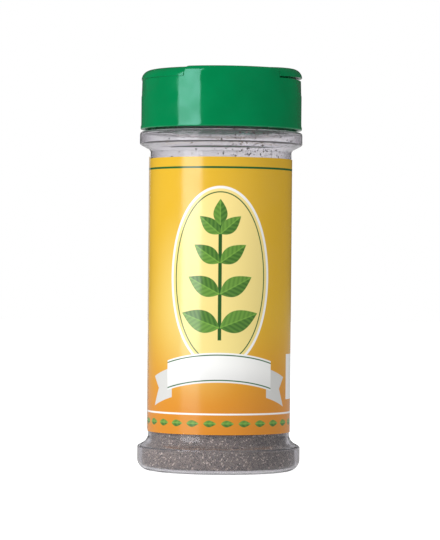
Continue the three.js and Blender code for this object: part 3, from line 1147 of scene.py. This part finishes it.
@dataclass
class CapForm:
    """Sizes that the cap and its flaps share, in millimetres."""

    bottom: float = 121.5
    top: float = 142.7
    radius: float = 28.65
    bore: float = 27.3
    hem: float = 0.2
    deck_under: float = 138.1
    deck_top: float = 139.1
    hinge_x: float = 6.5
    hinge_z: float = 142.55
    hinge_half: float = 8.8
    corner: float = 15.0
    sweep: float = 72.0
    gap: float = 0.3
    seat: float = 0.07
    flap_top: float = 142.5
    flap_wall: float = 1.4
    ajar: float = 2.8
    spoon_inset: float = 3.5
    spoon_radius: float = 22.4
    hole: float = 2.7
    hole_pitch: float = 6.9
    sides: int = 256

    def outline(self, inset: float, beyond: float = 60.0) -> list[Point]:
        """Draws a right-hand flap from above, left open past the rim.

        Args:
            inset: How far it is drawn in on the bar's side.
            beyond: How far out the open side lies.

        Returns:
            The corners, counter-clockwise.
        """
        centre_x = self.hinge_x + self.corner
        radius = self.corner - inset
        lower = arc((centre_x, -self.hinge_half), radius, 180.0 + self.sweep, 180.0, 24)
        upper = arc((centre_x, self.hinge_half), radius, 180.0, 180.0 - self.sweep, 24)
        swept_x, swept_y = upper[-1]
        far = swept_y + (beyond - swept_x) / math.tan(math.radians(self.sweep))
        return list(reversed([*lower, *upper, (beyond, far), (beyond, -far)]))

    def plate(self, name: str, inset: float, radius: float, low: float, high: float) -> bpy.types.Object:
        """Makes a right-hand flap-shaped plate that a radius about the cap's axis cuts round.

        Args:
            name: Name of the new object.
            inset: How far it is drawn in on the bar's side.
            radius: Radius that cuts it round.
            low: Height of its underside.
            high: Height of its top.

        Returns:
            The plate.
        """
        disc = turned(name, [(0.0, low), (radius, low), (radius, high), (0.0, high)], self.sides)
        return shape(disc, prism("plan", self.outline(inset), low - 1.0, high + 1.0), Cut.KEEP)

    def holes(self) -> list[Point]:
        """Places the sifter holes in two staggered rows on the left."""
        rows = ((-11.2, 5), (-17.2, 4))
        return [(x, (i - (count - 1) / 2) * self.hole_pitch) for x, count in rows for i in range(count)]


@dataclass
class Cap:
    """The screw cap: skirt, deck with its openings, centre bar and thumb recesses."""

    form: CapForm
    hem_round: float = 0.35
    hem_high: float = 0.9
    hem_end: float = 1.7
    bar_edge: float = 2.0
    bar_sink: float = 0.1
    seal_outer: float = 23.9
    seal_inner: float = 23.1
    seal_depth: float = 3.2
    scoop_top: float = 0.3
    scoop_foot: float = 0.1
    scoop_half: float = 15.0
    scoop_height: float = 6.0
    collar: float = 26.6
    collar_wall: float = 0.9
    collar_top: float = 140.2
    collar_half: float = 20.0
    edge: float = 0.00014

    def _shell(self) -> bpy.types.Object:
        """Turns the skirt, the deck and the seal ring."""
        f = self.form
        hem = self.hem_round
        return turned("green_cap", [
            (0.0, f.deck_under),
            (self.seal_inner, f.deck_under),
            (self.seal_inner, f.deck_under - self.seal_depth),
            (self.seal_outer, f.deck_under - self.seal_depth),
            (self.seal_outer, f.deck_under),
            (f.bore, f.deck_under),
            *straight((f.bore, f.deck_under), (f.bore, f.bottom), 6),
            (f.bore, f.bottom),
            *arc((f.radius + f.hem - hem, f.bottom + hem), hem, -90.0, 0.0, 4),
            (f.radius + f.hem, f.bottom + self.hem_high),
            (f.radius, f.bottom + self.hem_end),
            *straight((f.radius, f.bottom + self.hem_end), (f.radius, f.deck_top), 6),
            (f.radius, f.deck_top),
            (0.0, f.deck_top),
        ], f.sides)

    def _bar(self) -> bpy.types.Object:
        """Makes the bar: a full round top with both flap shapes taken out."""
        f = self.form
        bar = turned("bar", [
            (0.0, f.deck_under + self.bar_sink),
            (f.radius, f.deck_under + self.bar_sink),
            *arc((f.radius - self.bar_edge, f.top - self.bar_edge), self.bar_edge, 0.0, 90.0, 6),
            (0.0, f.top),
        ], f.sides)
        for turn in (0.0, math.pi):
            away = prism("away", f.outline(0.0), f.deck_top, f.top + 1.0)
            shape(bar, turn_in_place(away, turn, "Z", Vector()), Cut.TAKE)
        return bar

    def _scoop(self, turn: float) -> bpy.types.Object:
        """Makes the thumb recess under a flap's lip, on the side that a turn about Z gives."""
        f = self.form
        beyond = f.radius + 1.0
        low, high = f.deck_top - self.scoop_height, f.deck_top + 1.0
        groove = turned("scoop", [
            (f.radius - self.scoop_foot, low), (beyond, low),
            (beyond, high), (f.radius - self.scoop_top, high),
        ], f.sides)
        window = prism("window", circle((0.0, 0.0), 1.0, 48), 0.0, f.radius)
        squeeze = Matrix.Diagonal((self.scoop_height, self.scoop_half, 1.0, 1.0))
        window.data.transform(Matrix.Rotation(math.radians(90.0), 4, "Y") @ squeeze)
        window.data.transform(Matrix.Translation((f.radius * 0.5 * MM, 0.0, f.deck_top * MM)))
        shape(groove, window, Cut.KEEP)
        return turn_in_place(groove, turn, "Z", Vector())

    def _collar(self, turn: float) -> bpy.types.Object:
        """Makes the raised collar that a flap's rim closes over, on the side that a turn about Z gives."""
        f = self.form
        inner = self.collar - self.collar_wall
        low = f.deck_under + 0.2
        ring = turned("collar", [
            (inner, low), (self.collar, low), (self.collar, self.collar_top), (inner, self.collar_top),
        ], f.sides)
        half, near, far = self.collar_half, f.radius / 2, f.radius * 1.5
        stretch = prism("stretch", [(near, -half), (far, -half), (far, half), (near, half)], low - 1.0, f.top)
        return turn_in_place(shape(ring, stretch, Cut.KEEP), turn, "Z", Vector())

    def build(self, finish: bpy.types.Material, thread: bpy.types.Object) -> bpy.types.Object:
        """Builds the cap with its inner thread.

        Args:
            finish: Material of the cap.
            thread: The thread ridge, which is used up.

        Returns:
            The finished piece.
        """
        f = self.form
        cap = shape(self._shell(), self._bar(), Cut.JOIN)
        shape(cap, thread, Cut.JOIN)
        spoon = f.plate("spoon", f.spoon_inset, f.spoon_radius, f.deck_under - 1.0, f.deck_top + 1.0)
        shape(cap, spoon, Cut.TAKE)
        for x, y in f.holes():
            drill = prism("drill", circle((x, y), f.hole, 48), f.deck_under - 1.0, f.deck_top + 1.0)
            shape(cap, drill, Cut.TAKE)
        for turn in (0.0, math.pi):
            shape(cap, self._collar(turn), Cut.JOIN)
            shape(cap, self._scoop(turn), Cut.TAKE)
        paint(cap, finish)
        soften(cap, self.edge)
        place(cap, "green_plastic", "cap")
        return cap


@dataclass
class Flap:
    """One half lid: a plate with a rounded shoulder, a wall round its edge and what closes the opening."""

    form: CapForm
    side: Side
    plug_clearance: float = 0.4
    plug_wall: float = 0.9
    plug_reach: float = 0.6
    nub_clearance: float = 0.5
    nub_reach: float = 0.4
    edge: float = 0.00014

    @property
    def body(self) -> str:
        """Names the body, which is also the node, that this flap stands for."""
        return "spoon_flap" if self.side is Side.SPOON else "sifter_flap"

    def _lid(self) -> bpy.types.Object:
        """Makes the plate and its wall on the right-hand side, shut."""
        f = self.form
        lip = f.deck_top + f.seat
        shoulder = f.flap_top - lip
        centre = (f.radius - shoulder, lip)
        lid = turned(f"{self.body}_lid", [
            (0.0, lip), *arc(centre, shoulder, 0.0, 90.0, 10), (0.0, f.flap_top),
        ], f.sides)
        shape(lid, prism("plan", f.outline(f.gap), lip - 1.0, f.flap_top + 1.0), Cut.KEEP)
        hollow = turned("hollow", [
            (0.0, lip - 1.0), (f.radius - f.flap_wall, lip - 1.0),
            *arc(centre, shoulder - f.flap_wall, 0.0, 90.0, 6), (0.0, f.flap_top - f.flap_wall),
        ], f.sides)
        shape(hollow, prism("plan", f.outline(f.gap + f.flap_wall), lip - 2.0, f.flap_top), Cut.KEEP)
        return shape(lid, hollow, Cut.TAKE)

    def _rib(self) -> bpy.types.Object:
        """Makes the rib that drops into the spoon opening."""
        f = self.form
        foot = f.deck_top - self.plug_reach
        inset = f.spoon_inset + self.plug_clearance
        radius = f.spoon_radius - self.plug_clearance
        rib = f.plate("rib", inset, radius, foot, f.flap_top - f.flap_wall / 2)
        wall = self.plug_wall
        bore = f.plate("bore", inset + wall, radius - wall, foot - 1.0, f.flap_top - f.flap_wall)
        return shape(rib, bore, Cut.TAKE)

    def build(self, finish: bpy.types.Material) -> bpy.types.Object:
        """Builds the flap where its solid lies.

        Args:
            finish: Material of the flap.

        Returns:
            The finished piece.
        """
        f = self.form
        lid = self._lid()
        if self.side is Side.SPOON:
            shape(lid, self._rib(), Cut.JOIN)
            turn_in_place(lid, -math.radians(f.ajar), "Y", Vector((f.hinge_x, 0.0, f.hinge_z)) * MM)
        else:
            turn_in_place(lid, math.pi, "Z", Vector())
            for x, y in f.holes():
                disc = circle((x, y), f.hole - self.nub_clearance, 24)
                nub = prism("nub", disc, f.deck_top - self.nub_reach, f.flap_top - f.flap_wall / 2)
                shape(lid, nub, Cut.JOIN)
        paint(lid, finish)
        soften(lid, self.edge)
        place(lid, "green_plastic", self.body, body=self.body)
        return lid


def vertex_places(piece: bpy.types.Object) -> np.ndarray:
    """Reads the places of a mesh's vertices, one row each."""
    places = np.zeros(len(piece.data.vertices) * 3)
    piece.data.vertices.foreach_get("co", places)
    return places.reshape(-1, 3)


def mark_strewn(piece: bpy.types.Object, share: np.ndarray) -> None:
    """Keeps at each vertex the share of the full density that crumbs are strewn with there."""
    strew = piece.data.attributes.new("strew", "FLOAT", "POINT")
    strew.data.foreach_set("value", share.astype(np.float32))


@dataclass
class HerbFill:
    """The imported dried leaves: a crumbly body that fills the jar, strewn with loose flakes."""

    jar: Jar
    top: float = 99.0
    heap: float = 2.5
    clearance: float = 0.15
    ring_gap: float = 1.0
    ring_top: float = 7.2
    waist: float = 9.6
    thick_floor: float = 1.8
    strewn_to: float = 15.5
    heap_share: float = 0.35
    under_share: float = 0.2
    under_reach: float = 0.8
    crumb: float = 0.45
    heap_crumb: float = 2.2
    calm_middle: float = 4.0
    flake_density: float = 3.3e6
    flake_sizes: Point = (0.2, 0.6)
    flake_tilt: float = 0.3
    sides: int = 220
    rows: int = 60
    rings: int = 40
    seed: int = 7

    def _profile(self) -> list[Point]:
        """Draws the fill from the middle of its underside to the top of its heap."""
        jar = self.jar
        heel = jar.ring - jar.foot_outer
        ring = jar.ring - jar.wall - self.ring_gap
        radius = jar.panel - jar.wall - self.clearance
        clear = [(r, z) for r, z in offset(jar.inside(), self.clearance) if z < heel]
        inner = [(min(r, ring), max(z, self.thick_floor)) for r, z in clear]
        start = (0.0, inner[0][1])
        side = [
            *straight((ring, heel), (ring, self.ring_top), 6),
            *flank((ring, self.ring_top), (radius, self.waist)),
            *straight((radius, self.waist), (radius, self.top), self.rows),
        ]
        shares = [i / self.rings for i in range(self.rings + 1)]
        heap = [(radius * (1 - t), self.top + self.heap * eased(t)) for t in shares]
        return [start, *inner[1:], *side, *heap]

    def _crumble(self, body: bpy.types.Object) -> None:
        """Pits the body's surface inwards and roughens its heap, with a fixed seed."""
        draw = np.random.default_rng(self.seed)
        places = vertex_places(body)
        radius = np.hypot(places[:, 0], places[:, 1])
        pits = draw.random(len(places)) * self.crumb * MM * np.clip(radius / (self.calm_middle * MM), 0, 1)
        heap = places[:, 2] > (self.top - 0.2) * MM
        floor = places[:, 2] < self.jar.wall * 6 * MM
        places[heap, 2] += self.heap_crumb * pits[heap]
        drawn = np.where(heap | floor, 0.0, pits) / np.maximum(radius, MM)
        places[:, 0] *= 1 - drawn
        places[:, 1] *= 1 - drawn
        body.data.vertices.foreach_set("co", places.ravel())
        under = floor & (radius < self.under_reach * self.jar.ring * MM)
        shares = [self.heap_share, self.under_share]
        mark_strewn(body, np.select([heap, under], shares, places[:, 2] < self.strewn_to * MM))
        body.data.update()

    def build(self, packed: bpy.types.Material, loose: bpy.types.Material, strewer: "Strewer") -> None:
        """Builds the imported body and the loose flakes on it.

        Args:
            packed: Finish of the body.
            loose: Finish of the flakes.
            strewer: What lays the flakes.
        """
        body = turned("dried_basil_body", self._profile(), self.sides)
        self._crumble(body)
        flakes = strewer.lay(
            "dried_basil_flakes", body, loose, self.flake_density, self.seed,
            self.flake_sizes, self.flake_tilt,
        )
        paint(body, packed)
        soften(body, 0.0, crease=80.0)
        place(body, "dried_leaf", "dried_basil")
        place(flakes, "dried_leaf")


class Strewer:
    """Lays small curled leaf crumbs on a mesh by a geometry node tree."""

    def __init__(self) -> None:
        """Builds the tree once."""
        kinds = {
            "Density": FLOAT, "Seed": "NodeSocketInt", "Smallest": FLOAT, "Largest": FLOAT,
            "Tilt": FLOAT, "Finish": "NodeSocketMaterial",
        }
        pen, given, result = geometry_tree("leaf_crumbs", kinds)
        mask = pen.add("GeometryNodeInputNamedAttribute", {"Name": "strew"}, data_type="FLOAT").outputs[0]
        density = pen.math("MULTIPLY", given["Density"], mask)
        spread = pen.add("GeometryNodeDistributePointsOnFaces", {
            "Mesh": given["Ground"], "Density": density, "Seed": given["Seed"],
        })
        crumb = pen.add("GeometryNodeMeshCone", {
            "Vertices": 4, "Radius Top": 0.55, "Radius Bottom": 1.0, "Depth": 0.34,
        })
        lean = pen.math("MULTIPLY", given["Tilt"], -1.0)
        low = pen.add("ShaderNodeCombineXYZ", {0: lean, 1: lean, 2: 0.0}).outputs[0]
        high = pen.add("ShaderNodeCombineXYZ", {0: given["Tilt"], 1: given["Tilt"], 2: 6.283}).outputs[0]
        leans = {0: low, 1: high, "Seed": given["Seed"]}
        tilt = pen.add("FunctionNodeRandomValue", leans, data_type="FLOAT_VECTOR")
        turn = pen.add("FunctionNodeEulerToRotation", {0: tilt.outputs[0]})
        lie = pen.add("FunctionNodeRotateRotation", {
            0: spread.outputs["Rotation"], 1: turn.outputs[0],
        }, rotation_space="LOCAL")
        sizes = {2: given["Smallest"], 3: given["Largest"]}
        size = pen.add("FunctionNodeRandomValue", sizes, data_type="FLOAT")
        narrow = pen.add("FunctionNodeRandomValue", {2: 0.35, 3: 0.8, "Seed": 3}, data_type="FLOAT")
        length = size.outputs[1]
        width = pen.math("MULTIPLY", length, narrow.outputs[1])
        scale = pen.add("ShaderNodeCombineXYZ", {0: length, 1: width, 2: pen.math("MULTIPLY", length, 0.6)})
        laid = pen.add("GeometryNodeInstanceOnPoints", {
            "Points": spread.outputs["Points"], "Instance": crumb.outputs["Mesh"],
            "Rotation": lie.outputs[0], "Scale": scale.outputs[0],
        })
        tint = pen.add("FunctionNodeRandomValue", {2: 0.0, 3: 1.0, "Seed": 11}, data_type="FLOAT")
        named = pen.add("GeometryNodeStoreNamedAttribute", {
            "Geometry": laid.outputs[0], "Name": "tint", "Value": tint.outputs[1],
        }, data_type="FLOAT", domain="INSTANCE")
        real = pen.add("GeometryNodeRealizeInstances", {0: named.outputs[0]})
        dressed = pen.add("GeometryNodeSetMaterial", {0: real.outputs[0], "Material": given["Finish"]})
        pen.feed(result, dressed.outputs[0])
        self.tree = pen.tree

    def lay(
        self, name: str, ground: bpy.types.Object, finish: bpy.types.Material, density: float, seed: int,
        sizes: Point, tilt: float,
    ) -> bpy.types.Object:
        """Lays crumbs on a mesh where its strew attribute lets them.

        Args:
            name: Name of the new piece.
            ground: Mesh that carries the crumbs.
            finish: Material of the crumbs.
            density: Crumbs per square metre.
            seed: Seed of every random draw.
            sizes: Smallest and largest half-length in millimetres.
            tilt: Largest tilt in radians.

        Returns:
            The crumbs as one piece.
        """
        return grown(name, ground, self.tree, {
            "Density": density, "Seed": seed, "Smallest": sizes[0] * MM, "Largest": sizes[1] * MM,
            "Tilt": tilt, "Finish": finish,
        })


@dataclass
class ClingingSpecks:
    """Dust-fine crumbs that cling inside the shoulder, most of them on the right of the front."""

    jar: Jar
    low: float = 108.0
    high: float = 121.5
    thickest: float = 0.5
    spread: float = 0.5
    least: float = 0.1
    speck_density: float = 3.2e5
    speck_sizes: Point = (0.16, 0.6)
    dust_density: float = 2.4e6
    dust_sizes: Point = (0.05, 0.13)
    tilt: float = 0.3
    sides: int = 120
    seed: int = 23

    def build(self, specks: bpy.types.Material, dust: bpy.types.Material, strewer: Strewer) -> None:
        """Builds the specks and the dust on the inner wall above the label.

        Args:
            specks: Finish of the specks.
            dust: Finish of the dust.
            strewer: What lays them.
        """
        start = self.jar.bead_start - 1.0
        above = [point for point in self.jar.inside() if start < point[1] < self.high]
        band = [(self.jar.panel - self.jar.wall, self.low), *above]
        inner = offset(band, 0.06)
        outer = offset(band, 0.01)
        wall = turned("speck_wall", [*reversed(inner), *outer], self.sides)
        places = vertex_places(wall)
        facing = np.arctan2(places[:, 1], places[:, 0]) - math.radians(FRONT)
        facing = np.arctan2(np.sin(facing), np.cos(facing))
        crowd = np.exp(-((facing - self.thickest) / self.spread) ** 2)
        mark_strewn(wall, self.least + (1 - self.least) * crowd)
        lots = (
            ("clinging_specks", specks, self.speck_density, self.speck_sizes),
            ("clinging_dust", dust, self.dust_density, self.dust_sizes),
        )
        for name, finish, density, sizes in lots:
            place(strewer.lay(name, wall, finish, density, self.seed, sizes, self.tilt), "dried_leaf")
        drop(wall)


@dataclass
class Studio:
    """The pale floor, the soft light and the camera."""

    eye_height: float = 0.0697
    distance: float = 0.952
    aim_height: float = 0.0715
    lens: float = 177.3
    roll: float = 0.52
    key_turn: float = -47.0
    key_distance: float = 1.2
    key_size: tuple[float, float] = (0.73, 1.5)
    key_height: float = 0.35
    key_tilt: float = 80.0
    key_watts: float = 15.6
    surround: float = 0.66
    mirrored: float = 0.06
    behind: float = 0.78
    within: float = 0.4
    within_depth: float = 2.5
    floor_half: float = 3.0
    floor_grey: Colour = (0.3, 0.3, 0.3)
    floor_glow: float = 0.5
    floor_seen: float = 0.5
    floor_mirrored: float = -0.3
    white: Colour = (1.0, 1.0, 1.0)

    def floor(self) -> bpy.types.Object:
        """Lays the floor."""
        half = self.floor_half
        corners = [(-half, -half, 0.0), (half, -half, 0.0), (half, half, 0.0), (-half, half, 0.0)]
        floor = new_piece("pale_floor", corners, [(0, 1, 2, 3)])
        material, pen, shader = new_material("pale_floor")
        path = pen.add("ShaderNodeLightPath").outputs
        mirrored = pen.math("MULTIPLY", path["Is Glossy Ray"], path["Is Reflection Ray"])
        level = pen.math("MULTIPLY_ADD", path["Is Camera Ray"], self.floor_seen, self.floor_glow)
        pen.wire(shader, {
            "Base Color": self.floor_grey,
            "Roughness": 0.8,
            "Specular IOR Level": 0.0,
            "Emission Color": self.white,
            "Emission Strength": pen.math("MULTIPLY_ADD", mirrored, self.floor_mirrored, level),
        })
        paint(floor, material)
        return floor

    def world(self) -> None:
        """Sets a white backdrop for the eye, a grey surround for lighting and a dark one for reflections."""
        world = bpy.data.worlds.new("studio")
        world.use_nodes = True
        pen = NodePen(world.node_tree)
        back = next(n for n in world.node_tree.nodes if n.type == "BACKGROUND")
        path = pen.add("ShaderNodeLightPath").outputs
        grey = pen.math("MULTIPLY_ADD", path["Is Glossy Ray"], self.mirrored - self.surround, self.surround)
        through = pen.math("MULTIPLY", path["Is Transmission Ray"], self.behind)
        deep = pen.math("GREATER_THAN", path["Ray Depth"], self.within_depth)
        inner = pen.math("MULTIPLY", deep, self.within)
        softer = pen.math("MAXIMUM", pen.math("MAXIMUM", through, inner), grey)
        white = pen.math("MAXIMUM", path["Is Camera Ray"], softer)
        pen.wire(back, {"Color": self.white, "Strength": white})
        bpy.context.scene.world = world

    def lights(self) -> None:
        """Stands a tall soft box to the left of the camera."""
        turn = math.radians(self.key_turn + FRONT + 90.0)
        lamp = bpy.data.lights.new("soft_box", "AREA")
        lamp.shape = "RECTANGLE"
        lamp.size, lamp.size_y = self.key_size
        lamp.energy = self.key_watts
        key = bpy.data.objects.new("soft_box", lamp)
        away = self.key_distance
        key.location = (math.sin(turn) * away, -math.cos(turn) * away, self.key_height)
        key.rotation_euler = (math.radians(self.key_tilt), 0.0, turn)
        bpy.context.scene.collection.objects.link(key)

    def camera(self) -> None:
        """Sets the camera at the photograph's place."""
        lens = bpy.data.cameras.new("eye")
        lens.lens = self.lens
        lens.sensor_width = 36.0
        lens.clip_start = 0.05
        lens.clip_end = 20.0
        eye = bpy.data.objects.new("eye", lens)
        pitch = math.atan2(self.aim_height - self.eye_height, self.distance)
        upright = Matrix.Rotation(math.radians(90.0) + pitch, 4, "X")
        look = upright @ Matrix.Rotation(math.radians(self.roll), 4, "Z")
        away = Matrix.Translation((0.0, -self.distance, self.eye_height)) @ look
        eye.matrix_world = Matrix.Rotation(math.radians(FRONT + 90.0), 4, "Z") @ away
        bpy.context.scene.collection.objects.link(eye)
        bpy.context.scene.camera = eye

    def build(self) -> None:
        """Sets up everything round the object, with plain colours in the picture."""
        bpy.context.scene.view_settings.view_transform = "Standard"
        self.floor()
        self.world()
        self.lights()
        self.camera()


def main() -> None:
    """Builds every piece in order."""
    logging.basicConfig(level=logging.INFO, format="%(name)s: %(message)s")
    effects = Effects()
    strewer = Strewer()
    clear = ClearPlastic().material(effects)
    green = GreenPlastic().material(effects)
    film = PrintedFilm()
    leaf = DriedLeaf()
    flakes = leaf.material("leaf_flakes", True)
    jar = Jar()
    form = CapForm()
    jar.build(clear, NeckThread().build())
    Label().build(film.material(effects), film.back())
    Cap(form).build(green, NeckThread(wall=form.bore, start=124.4).build())
    for side in Side:
        Flap(form, side).build(green)
    HerbFill(jar).build(leaf.material("leaf_body", False), flakes, strewer)
    crumbs = DriedLeaf(olive=(0.03, 0.022, 0.016), brown=(0.06, 0.042, 0.03), straw=(0.16, 0.11, 0.08))
    powder = DriedLeaf(dark=(0.1, 0.07, 0.05), olive=(0.25, 0.19, 0.14), brown=(0.4, 0.31, 0.24))
    specks = crumbs.material("leaf_specks", True)
    ClingingSpecks(jar).build(specks, powder.material("leaf_dust", True), strewer)
    Studio().build()


if __name__ == "__main__":
    main()
